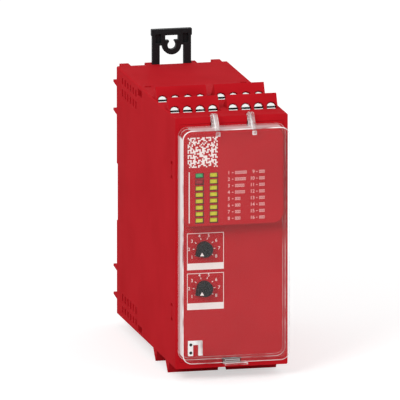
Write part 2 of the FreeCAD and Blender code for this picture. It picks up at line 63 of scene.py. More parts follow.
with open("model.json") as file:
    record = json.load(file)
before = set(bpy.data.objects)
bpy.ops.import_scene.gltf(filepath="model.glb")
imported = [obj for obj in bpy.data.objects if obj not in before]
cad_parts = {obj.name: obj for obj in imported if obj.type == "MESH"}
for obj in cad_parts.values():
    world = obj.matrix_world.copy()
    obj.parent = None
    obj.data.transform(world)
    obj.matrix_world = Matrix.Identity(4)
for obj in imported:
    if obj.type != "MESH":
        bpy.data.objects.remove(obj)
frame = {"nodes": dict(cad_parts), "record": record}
CAD_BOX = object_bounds()
RECORD = frame["record"]
BODIES = RECORD["behaviour"]["bodies"]
MM = 0.001
NEAR = 0.01 * MM                    # two places closer than this count as one
DIAL_FIRST = math.radians(-126)     # digit 1 from straight up, clockwise seen from the front
DIAL_STEP = math.radians(36)
PLUG_PLACES = [f"{level}_{row}_{side}" for level in ("top", "bottom")
               for row in ("rear", "front") for side in ("left", "right")]


def hex_triple(colour):
    """sRGB triple for a hex string."""
    return tuple(int(colour[i:i + 2], 16) / 255 for i in (0, 2, 4))


def linear(colour):
    """Linear RGBA for an sRGB hex string or an sRGB triple."""
    if isinstance(colour, str):
        colour = hex_triple(colour)
    curve = [c / 12.92 if c <= 0.04045 else ((c + 0.055) / 1.055) ** 2.4 for c in colour]
    return (*curve, 1.0)


def size_of(name, default, description):
    return FloatProperty(name=name, description=description, default=default * MM,
                         subtype="DISTANCE", unit="LENGTH", precision=5, min=0.0)


def colour_of(name, default, description):
    return FloatVectorProperty(name=name, description=description, default=hex_triple(default),
                               subtype="COLOR_GAMMA", size=3, min=0.0, max=1.0)


# ------------------------------------------------------------------ settings

class RelayPlasticSettings(bpy.types.PropertyGroup):
    red: colour_of("Housing red", "BE1923", "Moulded case, front panel and terminal plugs")
    red_dark: colour_of("Housing red, low spots", "B5131D", "Colour between the grains of the mould texture")
    black: colour_of("Black nylon", "1C1F21", "Rail lug, latch and selector knobs")
    # also the white of the painted reflection on the cover's walls and front sheet
    clear: colour_of("Clear cover", "FFFCFB", "Polycarbonate of the hinged cover")
    knob_radius: size_of("Knob radius", 3.05, "Round part of a selector knob")
    knob_corner: size_of("Knob corner", 4.4, "Reach of the skirt corner that points at a digit")
    grain: size_of("Mould grain", 0.35, "Distance between bumps of the spark-eroded mould texture")
    edge: size_of("Edge rounding", 0.18, "Radius on the moulded edges")


class RelayCoverSettings(bpy.types.PropertyGroup):
    half_width: size_of("Half width", 21.5, "Middle of the cover to its side wall")
    half_height: size_of("Half height", 46.5, "Middle of the cover to its top or bottom wall")
    wall: size_of("Wall", 1.1, "Thickness of the front sheet and the walls")
    corner: size_of("Corner radius", 3.8, "Radius of the four front-view corners")
    rounding: size_of("Polished rounding", 0.35, "Radius on the cover's edges")


class RelayMetalSettings(bpy.types.PropertyGroup):
    zinc: colour_of("Zinc plating", "FCFCFA", "Terminal screws")
    head_radius: size_of("Screw head radius", 1.9, "Radius of a terminal screw's head")
    head_height: size_of("Screw head height", 2.0, "Height of a terminal screw's head")
    slot_width: size_of("Screw slot width", 0.55, "Width of the driver slot")
    slot_depth: size_of("Screw slot depth", 0.9, "Depth of the driver slot")
    pitch: size_of("Terminal pitch", 5.08, "Distance between neighbouring terminals")
    tilt: FloatProperty(name="Screw tilt", description="Screw face from the vertical",
                        default=math.radians(27.6), subtype="ANGLE", unit="ROTATION")


class RelayPrintSettings(bpy.types.PropertyGroup):
    white: colour_of("White ink", "FBEDE9", "Label strips, outlines and the code field")
    pale: colour_of("Pale ink", "EDB9B6", "Legend numbers and bars")
    ink_height: size_of("Ink thickness", 0.03, "Height of the printed marks above the panel")
    line: size_of("Line width", 0.22, "Width of the thin outlines")
    indicator_step: size_of("Indicator step", 2.56, "Height from one light guide to the next")
    legend_text: size_of("Legend height", 1.35, "Height of the legend numbers")
    dial_text: size_of("Dial digit height", 1.3, "Height of the digits round a selector")
    code_cells: IntProperty(name="Code cells", description="Cells along one side of the code field",
                            default=23, min=9, max=33)


class RelayStageSettings(bpy.types.PropertyGroup):
    azimuth: FloatProperty(name="Azimuth", description="Camera's turn, negative to its left",
                           default=math.radians(-12.87), subtype="ANGLE", unit="ROTATION")
    elevation: FloatProperty(name="Elevation", description="Camera above the horizontal",
                             default=math.radians(11.94), subtype="ANGLE", unit="ROTATION")
    distance: FloatProperty(name="Distance", description="Camera to the object", default=7.2,
                            subtype="DISTANCE", unit="LENGTH", min=0.1)
    field: FloatProperty(name="Field", description="Width of the view at the object", default=0.1571,
                         subtype="DISTANCE", unit="LENGTH", min=0.01)
    backdrop: colour_of("Backdrop", "FFFFFF", "Background behind the floor")
    sky: FloatProperty(name="Sky strength", description="Even light from all round", default=0.74, min=0.0)


# ------------------------------------------------------------------ shader helpers

def node(tree, kind, values=None, links=None, **settings):
    """Adds one shader node with its settings, socket values and incoming links."""
    made = tree.nodes.new(kind)
    for key, value in settings.items():
        setattr(made, key, value)
    for key, value in (values or {}).items():
        made.inputs[key].default_value = value
    for key, socket in (links or {}).items():
        tree.links.new(socket, made.inputs[key])
    return made


def new_material(name):
    material = bpy.data.materials.new(name)
    material.use_nodes = True
    material.node_tree.nodes.clear()
    return material, material.node_tree


def finish_material(tree, shader):
    node(tree, "ShaderNodeOutputMaterial", links={"Surface": shader})


def grain_bump(tree, spacing, strength, depth):
    """Fine raised grain on object coordinates; spacing and depth are metres."""
    place = node(tree, "ShaderNodeTexCoord")
    noise = node(tree, "ShaderNodeTexNoise", {"Scale": 1 / spacing, "Detail": 3.0, "Roughness": 0.55},
                 {"Vector": place.outputs["Object"]})
    bump = node(tree, "ShaderNodeBump", {"Strength": strength, "Distance": depth},
                {"Height": noise.outputs["Fac"]})
    return noise, bump


def cloud_noise(tree, scale, detail):
    """Factor of a soft noise on object coordinates."""
    place = node(tree, "ShaderNodeTexCoord")
    return node(tree, "ShaderNodeTexNoise", {"Scale": scale, "Detail": detail},
                {"Vector": place.outputs["Object"]}).outputs["Fac"]


def remap(tree, socket, low, high, to_low=0.0, to_high=1.0):
    """Clamped linear change of a value from one range to another."""
    return node(tree, "ShaderNodeMapRange",
                {"From Min": low, "From Max": high, "To Min": to_low, "To Max": to_high},
                {"Value": socket}).outputs["Result"]


def times(tree, first, second):
    return node(tree, "ShaderNodeMath", links={0: first, 1: second}, operation="MULTIPLY").outputs["Value"]


def two_tone(tree, factor, low, high, start=0.35, end=0.65):
    ramp = node(tree, "ShaderNodeValToRGB", links={"Fac": factor})
    ramp.color_ramp.elements[0].position = start
    ramp.color_ramp.elements[0].color = low
    ramp.color_ramp.elements[1].position = end
    ramp.color_ramp.elements[1].color = high
    return ramp.outputs["Color"]


# ------------------------------------------------------------------ materials

def red_moulded_abs():
    """Spark-eroded ABS blend: an even satin red whose fine grain breaks up reflections."""
    style = bpy.context.scene.relay_plastic
    material, tree = new_material("red_moulded_abs")
    noise, bump = grain_bump(tree, style.grain, 0.18, 0.00003)
    cloud = cloud_noise(tree, 60.0, 2.0)
    colour = two_tone(tree, cloud, linear(style.red_dark), linear(style.red), 0.2, 0.6)
    rough = remap(tree, noise.outputs["Fac"], 0.0, 1.0, 0.68, 0.82)
    shader = node(tree, "ShaderNodeBsdfPrincipled", {"IOR": 1.53, "Specular IOR Level": 0.03},
                  {"Base Color": colour, "Roughness": rough, "Normal": bump.outputs["Normal"]})
    finish_material(tree, shader.outputs["BSDF"])
    return material


def black_nylon():
    """Glass-filled black nylon, moulded: dark with a soft, broken sheen."""
    style = bpy.context.scene.relay_plastic
    material, tree = new_material("black_nylon")
    noise, bump = grain_bump(tree, 0.0005, 0.2, 0.00002)
    colour = two_tone(tree, noise.outputs["Fac"], linear("111314"), linear(style.black))
    rough = remap(tree, noise.outputs["Fac"], 0.0, 1.0, 0.38, 0.55)
    shader = node(tree, "ShaderNodeBsdfPrincipled", {"IOR": 1.53, "Specular IOR Level": 0.14},
                  {"Base Color": colour, "Roughness": rough, "Normal": bump.outputs["Normal"]})
    finish_material(tree, shader.outputs["BSDF"])
    return material


def clear_polycarbonate():
    """Polished clear polycarbonate: the front sheet is almost unseen, the walls carry a painted white
    reflection.

    Normal times place tells the walls from the front sheet. Cycles turns the normal round where a face is
    seen from behind, so the limits lie between the inner and the outer face of a wall.
    """
    style = bpy.context.scene.relay_plastic
    # faint painted white reflection over the whole front sheet
    sheet_painted_white = 0.019
    material, tree = new_material("clear_polycarbonate")
    place = node(tree, "ShaderNodeTexCoord")
    outward = node(tree, "ShaderNodeVectorMath", operation="MULTIPLY",
                   links={0: place.outputs["Normal"], 1: place.outputs["Object"]})
    faces = node(tree, "ShaderNodeSeparateXYZ", links={"Vector": outward.outputs["Vector"]})
    spot = node(tree, "ShaderNodeSeparateXYZ", links={"Vector": place.outputs["Object"]})
    slant = node(tree, "ShaderNodeLayerWeight", {"Blend": 0.5})
    cloud = cloud_noise(tree, 40.0, 1.0)
    # painted reflection: white on the side walls, fainter on the top and bottom walls and lower down, fading
    # towards the rim
    side = remap(tree, faces.outputs["X"], 0.0206, 0.0213)
    upright = remap(tree, faces.outputs["Z"], 0.0456, 0.0463)
    upper = remap(tree, spot.outputs["Z"], -0.04, 0.04, 0.05, 0.45)
    deep = remap(tree, spot.outputs["Y"], -0.1105, -0.107, 1.0, 0.55)
    glow = remap(tree, cloud, 0.35, 0.6, 0.8, 1.0)
    grazing = remap(tree, slant.outputs["Facing"], 0.3, 0.76, 0.12, 1.0)
    walls = times(tree, side, times(tree, grazing, times(tree, deep, glow)))
    ends = node(tree, "ShaderNodeMath", {2: sheet_painted_white}, {0: upright, 1: upper}, operation="MULTIPLY_ADD")
    painted_white = node(tree, "ShaderNodeMath", links={0: walls, 1: ends.outputs["Value"]}, operation="ADD")
    bump = node(tree, "ShaderNodeBump", {"Strength": 0.03, "Distance": 0.0002}, {"Height": cloud})
    shader = node(tree, "ShaderNodeBsdfPrincipled",
                  {"Base Color": linear(style.clear), "Roughness": 0.08, "IOR": 1.58},
                  {"Normal": bump.outputs["Normal"], "Alpha": painted_white.outputs["Value"]})
    finish_material(tree, shader.outputs["BSDF"])
    return material


def painted_edge_highlight(name, low, high):
    """Painted highlight for the edges of clear plastic: white with grey streaks, between two densities."""
    material, tree = new_material(name)
    streak = cloud_noise(tree, 110.0, 2.0)
    painted_white = remap(tree, streak, 0.38, 0.62, low, high)
    colour = two_tone(tree, streak, linear("BDB4B3"), linear("FFFEFD"), 0.36, 0.52)
    shader = node(tree, "ShaderNodeBsdfPrincipled", {"Roughness": 0.1, "IOR": 1.58},
                  {"Base Color": colour, "Alpha": painted_white})
    finish_material(tree, shader.outputs["BSDF"])
    return material


def zinc_plated_steel():
    """Bright zinc plating: silvery, with a fine grain and small tone changes."""
    style = bpy.context.scene.relay_metal
    material, tree = new_material("zinc_plated_steel")
    noise, bump = grain_bump(tree, 0.0004, 0.15, 0.00002)
    colour = two_tone(tree, noise.outputs["Fac"], linear("E9E9E6"), linear(style.zinc), 0.2, 0.7)
    rough = remap(tree, noise.outputs["Fac"], 0.0, 1.0, 0.12, 0.26)
    shader = node(tree, "ShaderNodeBsdfPrincipled", {"Metallic": 1.0},
                  {"Base Color": colour, "Roughness": rough, "Normal": bump.outputs["Normal"]})
    finish_material(tree, shader.outputs["BSDF"])
    return material


def painted_slot_shade():
    """Painted shade inside a driver slot or a wire hole: near-black steel that stands for the shade there."""
    material, tree = new_material("painted_slot_shade")
    noise, bump = grain_bump(tree, 0.0003, 0.2, 0.00002)
    colour = two_tone(tree, noise.outputs["Fac"], linear("0C0E0E"), linear("191C1C"))
    shader = node(tree, "ShaderNodeBsdfPrincipled", {"Roughness": 0.7, "Specular IOR Level": 0.1},
                  {"Base Color": colour, "Normal": bump.outputs["Normal"]})
    finish_material(tree, shader.outputs["BSDF"])
    return material


def lit_diffuser(name, low, high, glow):
    """Milky acrylic light guide in two close tones; glow is the strength of its own light."""
    material, tree = new_material(name)
    noise, bump = grain_bump(tree, 0.0005, 0.1, 0.00002)
    colour = two_tone(tree, noise.outputs["Fac"], linear(low), linear(high), 0.25, 0.7)
    shader = node(tree, "ShaderNodeBsdfPrincipled",
                  {"Roughness": 0.3, "IOR": 1.49, "Emission Strength": glow, "Specular IOR Level": 0.3},
                  {"Base Color": colour, "Emission Color": colour, "Normal": bump.outputs["Normal"]})
    finish_material(tree, shader.outputs["BSDF"])
    return material


def screen_ink(name, colour):
    """Pad-printed ink: matt and very slightly mottled."""
    material, tree = new_material(name)
    noise, bump = grain_bump(tree, 0.0003, 0.1, 0.00001)
    low = tuple(c * 0.96 for c in linear(colour)[:3]) + (1.0,)
    tone = two_tone(tree, noise.outputs["Fac"], low, linear(colour))
    shader = node(tree, "ShaderNodeBsdfPrincipled", {"Roughness": 0.6, "Specular IOR Level": 0.25},
                  {"Base Color": tone, "Normal": bump.outputs["Normal"]})
    finish_material(tree, shader.outputs["BSDF"])
    return material


def plain_finish(name, low, high, roughness, metallic=0.0, spacing=0.0006):
    """Shared finish of the pieces inside the housing: two close tones and a fine grain."""
    material, tree = new_material(name)
    noise, bump = grain_bump(tree, spacing, 0.2, 0.00003)
    colour = two_tone(tree, noise.outputs["Fac"], linear(low), linear(high))
    shader = node(tree, "ShaderNodeBsdfPrincipled", {"Roughness": roughness, "Metallic": metallic},
                  {"Base Color": colour, "Normal": bump.outputs["Normal"]})
    finish_material(tree, shader.outputs["BSDF"])
    return material


# ------------------------------------------------------------------ piece helpers

def body_with(node_name):
    return next(body for body, nodes in BODIES.items() if node_name in nodes)


def slot_with(node_name):
    return next(part["material_slot"] for part in RECORD["subparts"] if part["node"] == node_name)


def add_piece(name, mesh, material, body, slot, *more):
    """Puts a finished mesh into the scene with its materials, riding on a body."""
    piece = bpy.data.objects.new(name, mesh)
    bpy.context.scene.collection.objects.link(piece)
    for each in (material, *more):
        mesh.materials.append(each)
    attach(piece, body)
    return piece


def mesh_from(bm, name, smooth=35.0):
    """Mesh from a bmesh, shaded smooth below the given angle in degrees."""
    bmesh.ops.recalc_face_normals(bm, faces=bm.faces)
    mesh = bpy.data.meshes.new(name)
    bm.to_mesh(mesh)
    bm.free()
    mesh.shade_smooth()
    mesh.set_sharp_from_angle(angle=math.radians(smooth))
    return mesh


def moulded_copy(node_name, material, edge, segments=2, smooth=35.0):
    """The CAD node's own form with merged faces and softly rounded edges, standing for that node."""
    bm = bmesh.new()
    bm.from_mesh(frame["nodes"][node_name].data)
    bmesh.ops.remove_doubles(bm, verts=bm.verts, dist=0.000002)
    bmesh.ops.dissolve_limit(bm, angle_limit=math.radians(1.0), verts=bm.verts, edges=bm.edges)
    mesh = mesh_from(bm, node_name + "_finished", smooth)
    piece = add_piece(node_name + "_finished", mesh, material, body_with(node_name), slot_with(node_name))
    if edge > 0:
        bevel = piece.modifiers.new("edges", "BEVEL")
        bevel.width = edge
        bevel.segments = segments
        bevel.limit_method = "ANGLE"
        bevel.angle_limit = math.radians(40)
        bevel.use_clamp_overlap = True
        bevel.harden_normals = True
    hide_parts(node_name)
    return piece


def join(bm, other):
    """Adds another bmesh's faces and frees it."""
    mesh = bpy.data.meshes.new("joined")
    other.to_mesh(mesh)
    other.free()
    bm.from_mesh(mesh)
    bpy.data.meshes.remove(mesh)


def block(bm, x0, x1, y0, y1, z0, z1):
    """Adds a box between two corners."""
    middle = Vector(((x0 + x1) / 2, (y0 + y1) / 2, (z0 + z1) / 2))
    size = Vector((abs(x1 - x0), abs(y1 - y0), abs(z1 - z0)))
    matrix = Matrix.Translation(middle) @ Matrix.Diagonal((*size, 1.0))
    return bmesh.ops.create_cube(bm, size=1.0, matrix=matrix)["verts"]


def add_text(bm, text, height, x, z, y_back, thickness, align="CENTER", weight=0.0):
    """Adds upright characters that face forward at (x, z); weight thickens their strokes."""
    curve = bpy.data.curves.new("characters", "FONT")
    curve.body = text
    curve.size = height / 0.72
    curve.extrude = thickness / 2
    curve.offset = weight
    curve.align_x = align
    curve.align_y = "CENTER"
    curve.resolution_u = 3
    holder = bpy.data.objects.new("characters", curve)
    mesh = bpy.data.meshes.new_from_object(holder)
    mesh.transform(Matrix.Translation((x, y_back - thickness / 2, z)) @ Matrix.Rotation(math.pi / 2, 4, "X"))
    bm.from_mesh(mesh)
    bpy.data.meshes.remove(mesh)
    bpy.data.objects.remove(holder)
    bpy.data.curves.remove(curve)


def cylinder(bm, radius, depth, segments, matrix):
    """Adds a capped cylinder along the matrix's Z axis, centred on its place."""
    return bmesh.ops.create_cone(bm, cap_ends=True, segments=segments, radius1=radius, radius2=radius,
                                 depth=depth, matrix=matrix)["verts"]


def round_off(bm, geom, width, material=-1, segments=3, affect="EDGES"):
    """Bevels edges, or corners, to a round section."""
    bmesh.ops.bevel(bm, geom=geom, offset=width, offset_type="OFFSET", affect=affect, segments=segments,
                    profile=0.5, material=material)


def shift_new(bm, geom, offset):
    """Moves the corners of what an extrusion has just made."""
    bmesh.ops.translate(bm, vec=offset, verts=[v for v in geom if isinstance(v, bmesh.types.BMVert)])


# ------------------------------------------------------------------ operators

class RELAY_OT_moulded_case(bpy.types.Operator):
    """Finishes the housing, the front panel and the terminal plugs in red moulded plastic"""
    bl_idname = "relay.moulded_case"
    bl_label = "Moulded case"

    def execute(self, context):
        style = context.scene.relay_plastic
        red = red_moulded_abs()
        for name in ["housing", "front_panel"] + ["plug_" + place for place in PLUG_PLACES]:
            moulded_copy(name, red, style.edge)
        return {"FINISHED"}


def side_prism(bm, outline, x0, x1):
    """Adds a prism whose outline is given as (y, z) millimetre points, between two x places."""
    face = bm.faces.new([bm.verts.new((x0, y * MM, z * MM)) for y, z in outline])
    wall = bmesh.ops.extrude_face_region(bm, geom=[face])["geom"]
    shift_new(bm, wall, (x1 - x0, 0, 0))


def polished(piece, width):
    """Rounds a clear piece's edges and gives the rounding its second material, the painted edge highlight."""
    bevel = piece.modifiers.new("painted edge highlight", "BEVEL")
    bevel.width = width
    bevel.segments = 3
    bevel.limit_method = "ANGLE"
    bevel.angle_limit = math.radians(40)
    bevel.material = 1
    bevel.harden_normals = True


class RELAY_OT_clear_cover(bpy.types.Operator):
    """Models the hinged cover as a thin clear tray with arms, seal eyelet and finger tab"""
    bl_idname = "relay.clear_cover"
    bl_label = "Clear cover"

    def tray(self, style, front, rim):
        """Front sheet and four walls, open at the back, whose outer edge roundings carry the painted edge
        highlight.
        """
        bm = bmesh.new()
        corners = ((-1, -1), (1, -1), (1, 1), (-1, 1))
        face = bm.faces.new([bm.verts.new((x * style.half_width, front, z * style.half_height))
                             for x, z in corners])
        round_off(bm, face.verts[:], style.corner, segments=10, affect="VERTICES")
        wall = bmesh.ops.extrude_edge_only(bm, edges=bm.edges[:])["geom"]
        shift_new(bm, wall, (0, rim - front, 0))
        bmesh.ops.recalc_face_normals(bm, faces=bm.faces)
        sheet = max(bm.faces, key=lambda face: face.calc_area())
        if sheet.normal.y > 0:
            bmesh.ops.reverse_faces(bm, faces=bm.faces)
        bmesh.ops.solidify(bm, geom=bm.faces[:], thickness=style.wall)
        sharp = 0.7
        # material 1 is the painted edge highlight
        levels = ((front, style.rounding, 1), (front + style.wall, style.rounding / 2, 0),
                  (rim, style.rounding / 3, 1))
        for depth, width, material in levels:
            edges = [edge for edge in bm.edges if edge.calc_face_angle(0) > sharp
                     and all(abs(v.co.y - depth) < 2 * NEAR for v in edge.verts)]
            round_off(bm, edges, width, material)
        return mesh_from(bm, "cover_tray", 30.0)

    def arms(self):
        """Hinge arms with their ribs and pivot stubs."""
        bm = bmesh.new()
        arm = ((-102.3, 50.15), (-104.4, 51.4), (-107.3, 51.8), (-108.3, 51.2), (-112.3, 46.4),
               (-112.3, 45.8), (-104.9, 45.8), (-104.9, 47.4), (-103.0, 48.4))
        half, apart = 0.9 * MM, 7.3 * MM
        for side in (-1, 1):
            middle = side * apart
            side_prism(bm, arm, middle - half, middle + half)
            block(bm, middle - half, middle + half, -113.35 * MM, -112.5 * MM, 43.8 * MM, 45.5 * MM)
            pivot = Matrix.Translation((middle + side * 1.1 * MM, -102 * MM, 49 * MM))
            cylinder(bm, 0.6 * MM, 2.2 * MM, 32, pivot @ Matrix.Rotation(math.pi / 2, 4, "Y"))
        return mesh_from(bm, "cover_arms", 30.0)

    def tab(self):
        """Finger tab and the tongue that snaps into the housing."""
        bm = bmesh.new()
        block(bm, -4.6 * MM, 4.6 * MM, -113.5 * MM, -110 * MM, -47.4 * MM, -46.6 * MM)
        side_prism(bm, ((-106.5, -46.6), (-104.8, -46.6), (-102.2, -46.7), (-101.9, -47.2), (-102.2, -48.3),
                        (-103.3, -48.3), (-104.7, -47.4), (-106.5, -47.4)), -2.9 * MM, 2.9 * MM)
        return mesh_from(bm, "cover_tab", 30.0)

    def eyelet(self):
        """Raised frame, open below; its wire holes are dark discs of painted shade that execute lays in."""
        bm = bmesh.new()
        bars = ((-19.5, -17.5, -42.9, -36.9), (-15.4, -13.7, -42.9, -36.9), (-17.5, -15.4, -38.6, -36.9))
        for x0, x1, z0, z1 in bars:
            block(bm, x0 * MM, x1 * MM, -114.2 * MM, -113.02 * MM, z0 * MM, z1 * MM)
        return mesh_from(bm, "seal_eyelet", 30.0)

    def execute(self, context):
        style = context.scene.relay_cover
        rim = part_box("housing")[0].y - 0.15 * MM
        clear = clear_polycarbonate()
        # painted highlights: the edge material on edge roundings and the whole eyelet, a fainter painted
        # sheen over the hinge arms
        edge = painted_edge_highlight("painted_highlight_edge", 0.4, 0.95)
        arm_sheen = painted_edge_highlight("painted_arm_sheen", 0.12, 0.45)
        tray = add_piece("cover_tray", self.tray(style, -113 * MM, rim), clear, "cover", "clear_cover", edge)
        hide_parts("clear_cover")
        fittings = (("cover_arms", self.arms(), arm_sheen, 0.26), ("cover_tab", self.tab(), clear, 0.18),
                    ("seal_eyelet", self.eyelet(), edge, 0.2))
        for name, mesh, base, width in fittings:
            piece = add_piece(name, mesh, base, "cover", "clear_cover", edge)
            polished(piece, width * MM)
            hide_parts("clear_cover")
        # near-black discs paint the shade of the seal's wire holes
        holes = bmesh.new()
        for z in (-38.4, -41.6):
            place = Matrix.Translation((-18.5 * MM, -113.75 * MM, z * MM))
            cylinder(holes, 0.6 * MM, 0.9 * MM, 20, place @ Matrix.Rotation(math.pi / 2, 4, "X"))
        bores = add_piece("seal_wire_hole_shade", mesh_from(holes, "seal_wire_hole_shade"), painted_slot_shade(),
                          "cover", "clear_cover")
        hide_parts("clear_cover")
        return {"FINISHED"}


def selector_knob(radius, height, corner, recess):
    """A round knob, one skirt corner, its cross recess sunk into the front in painted shade; axis Z, front at
    z = 0.
    """
    crown, lap, sink = 1.0 * MM, 0.2 * MM, 0.8 * MM
    knob = bmesh.new()
    lower = cylinder(knob, radius, height - crown, 60, Matrix.Translation((0, 0, -(height + crown) / 2)))
    spread = math.acos(radius / corner)
    for vert in lower:
        off = abs(math.atan2(vert.co.x, vert.co.y))
        if off < spread:
            vert.co.xy *= 1 / math.cos(spread - off)
    upper = bmesh.new()
    cylinder(upper, radius, crown + lap, 60, Matrix.Translation((0, 0, -(crown + lap) / 2)))
    for bm in (knob, upper):
        top = max(v.co.z for v in bm.verts)
        rim = [edge for edge in bm.edges if all(v.co.z > top - NEAR for v in edge.verts)]
        round_off(bm, rim, 0.3 * MM)
    arm, half = recess
    for across in (Vector((1, 0, 0)), Vector((0, 1, 0))):
        for place in (-arm, -half, half, arm):
            flat = [face for face in upper.faces if all(v.co.z > -NEAR for v in face.verts)]
            parts = flat + list({edge for face in flat for edge in face.edges})
            parts += list({vert for face in flat for vert in face.verts})
            bmesh.ops.bisect_plane(upper, geom=parts, plane_co=across * place, plane_no=across)
    # faces of the cross recess get the second material, a painted shade
    cross = []
    for face in upper.faces:
        middle = face.calc_center_median()
        short, long = sorted((abs(middle.x), abs(middle.y)))
        if middle.z > -NEAR and short < half and long < arm:
            cross.append(face)
            face.material_index = 1
    sunk = bmesh.ops.extrude_face_region(upper, geom=cross)["geom"]
    bmesh.ops.delete(upper, geom=cross, context="FACES_ONLY")
    shift_new(upper, sunk, (0, 0, -sink))
    join(knob, upper)
    return knob


class RELAY_OT_black_parts(bpy.types.Operator):
    """Finishes the selector knobs, the fixing lug and the rail latch in black nylon"""
    bl_idname = "relay.black_parts"
    bl_label = "Black parts"

    def execute(self, context):
        style = context.scene.relay_plastic
        # the second, near-black material paints shade into the knobs' cross recesses
        black, dark = black_nylon(), plain_finish("recess_painted_shade", "070808", "0D0F10", 0.6)
        cross = (1.7 * MM, 0.36 * MM)       # reach and half width of the recess's arms
        for name in ("fixing_lug", "rail_latch"):
            moulded_copy(name, black, style.edge)
        for name in ("start", "function"):
            low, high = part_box(name + "_knob")
            shaft_low, shaft_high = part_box(name + "_switch")
            bm = selector_knob(style.knob_radius, high.y - low.y, style.knob_corner, cross)
            bm.transform(Matrix.Rotation(math.pi / 2, 4, "X"))
            bm.transform(Matrix.Rotation(DIAL_FIRST, 4, "Y"))
            bm.transform(Matrix.Translation(((shaft_low.x + shaft_high.x) / 2, low.y,
                                             (shaft_low.z + shaft_high.z) / 2)))
            piece = add_piece(name + "_knob_finished", mesh_from(bm, name + "_knob", 30.0), black,
                              name + "_dial", "black_plastic", dark)
            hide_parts(name + "_knob")
        return {"FINISHED"}


def screw_head(style):
    """One slotted head on the Z axis with its top at z = 0; the slot's inside has the second material, a
    painted shade.
    """
    radius, height = style.head_radius, style.head_height
    floor, wall = -style.slot_depth, style.slot_width / 2
    shank_radius, shank_length = 1.25 * MM, 2.6 * MM
    bm = bmesh.new()
    cylinder(bm, radius, height + floor, 40, Matrix.Translation((0, 0, (floor - height) / 2)))
    for side in (-1, 1):
        half = bmesh.new()
        cylinder(half, radius, style.slot_depth, 40, Matrix.Translation((0, 0, floor / 2)))
        cut = bmesh.ops.bisect_plane(half, geom=half.verts[:] + half.edges[:] + half.faces[:],
                                     plane_co=(0, side * wall, 0), plane_no=(0, -side, 0), clear_outer=True)
        rim = [item for item in cut["geom_cut"] if isinstance(item, bmesh.types.BMEdge)]
        bmesh.ops.edgenet_fill(half, edges=rim)
        top = [edge for edge in half.edges if all(v.co.z > -NEAR for v in edge.verts)]
        round_off(half, top, 0.16 * MM)
        join(bm, half)
    # the slot's floor and walls take the painted shade material
    for face in bm.faces:
        middle = face.calc_center_median()
        if floor - NEAR < middle.z < -0.1 * MM and abs(middle.y) < wall + NEAR:
            face.material_index = 1
    cylinder(bm, shank_radius, shank_length, 24, Matrix.Translation((0, 0, -height - shank_length / 2)))
    return bm


class RELAY_OT_terminal_screws(bpy.types.Operator):
    """Models the slotted zinc-plated screws of all the terminal plugs"""
    bl_idname = "relay.terminal_screws"
    bl_label = "Terminal screws"

    def execute(self, context):
        style = context.scene.relay_metal
        # the second material paints shade into the driver slots
        zinc, dark = zinc_plated_steel(), painted_slot_shade()
        for place in PLUG_PLACES:
            name = "screws_" + place
            low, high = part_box(name)
            upper = place.startswith("top")
            rise = style.head_radius * math.cos(style.tilt)
            y = low.y + style.head_radius * math.sin(style.tilt)
            z = high.z - rise if upper else low.z + rise
            lean = math.pi / 2 - style.tilt
            turn = Matrix.Rotation(lean if upper else math.pi - lean, 4, "X")
            bm = bmesh.new()
            for index in range(4):
                x = (low.x + high.x) / 2 + (index - 1.5) * style.pitch
                single = screw_head(style)
                single.transform(Matrix.Translation((x, y, z)) @ turn)
                join(bm, single)
            piece = add_piece(name + "_finished", mesh_from(bm, name, 30.0), zinc, body_with(name),
                              "zinc_screw", dark)
            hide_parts(name)
        return {"FINISHED"}


class RELAY_OT_indicators(bpy.types.Operator):
    """Rounds the edges of the light guides and paints a dark shadow frame round the yellow ones"""
    bl_idname = "relay.indicators"
    bl_label = "Indicators"

    def execute(self, context):
        glows = {
            "power_indicator": lit_diffuser("green_light_guide", "2B9052", "48A767", 0.2),
            "error_indicator": lit_diffuser("red_light_guide", "A31C27", "B02530", 0.0),
            "input_indicators": lit_diffuser("yellow_light_guide", "AEAC1C", "C9C332", 0.25),
        }
        for name, material in glows.items():
            moulded_copy(name, material, 0.00025, 3)
        style = context.scene.relay_print
        raised, _ = panel_faces()
        # near-black red frames paint the shadow round each yellow light guide, widest to the right and below
        shadow_frame = plain_finish("painted_window_shade", "340D0B", "451410", 0.7)
        bm = bmesh.new()
        low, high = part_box("input_indicators")
        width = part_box("power_indicator")[1].x - low.x
        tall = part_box("power_indicator")[1].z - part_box("power_indicator")[0].z
        face = raised - 0.04 * MM
        wide, narrow, thin = 0.3 * MM, 0.15 * MM, 0.1 * MM      # painted shadow right and below, left, above
        for left in (low.x, high.x - width):
            right = left + width
            for row in range(8):
                top = high.z - row * style.indicator_step
                foot = top - tall
                block(bm, right, right + wide, raised, face, foot - wide, top + thin)
                block(bm, left - narrow, right, raised, face, foot - wide, foot)
                block(bm, left - narrow, right, raised, face, top, top + thin)
                block(bm, left - narrow, left, raised, face, foot, top)
        add_piece("painted_window_shadows", mesh_from(bm, "painted_window_shadows"), shadow_frame, "module", "housing_red")
        return {"FINISHED"}


def panel_faces():
    """Front faces of the raised display field and of the lower panel."""
    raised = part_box("front_panel")[0].y
    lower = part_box("housing")[0].y
    return raised, lower


def cell_is_inked(row, column):
    """Scatters the cells by plain arithmetic; the field holds no data."""
    return (7 * row * row + 11 * column * column + 5 * row * column + 3 * row) % 19 < 10


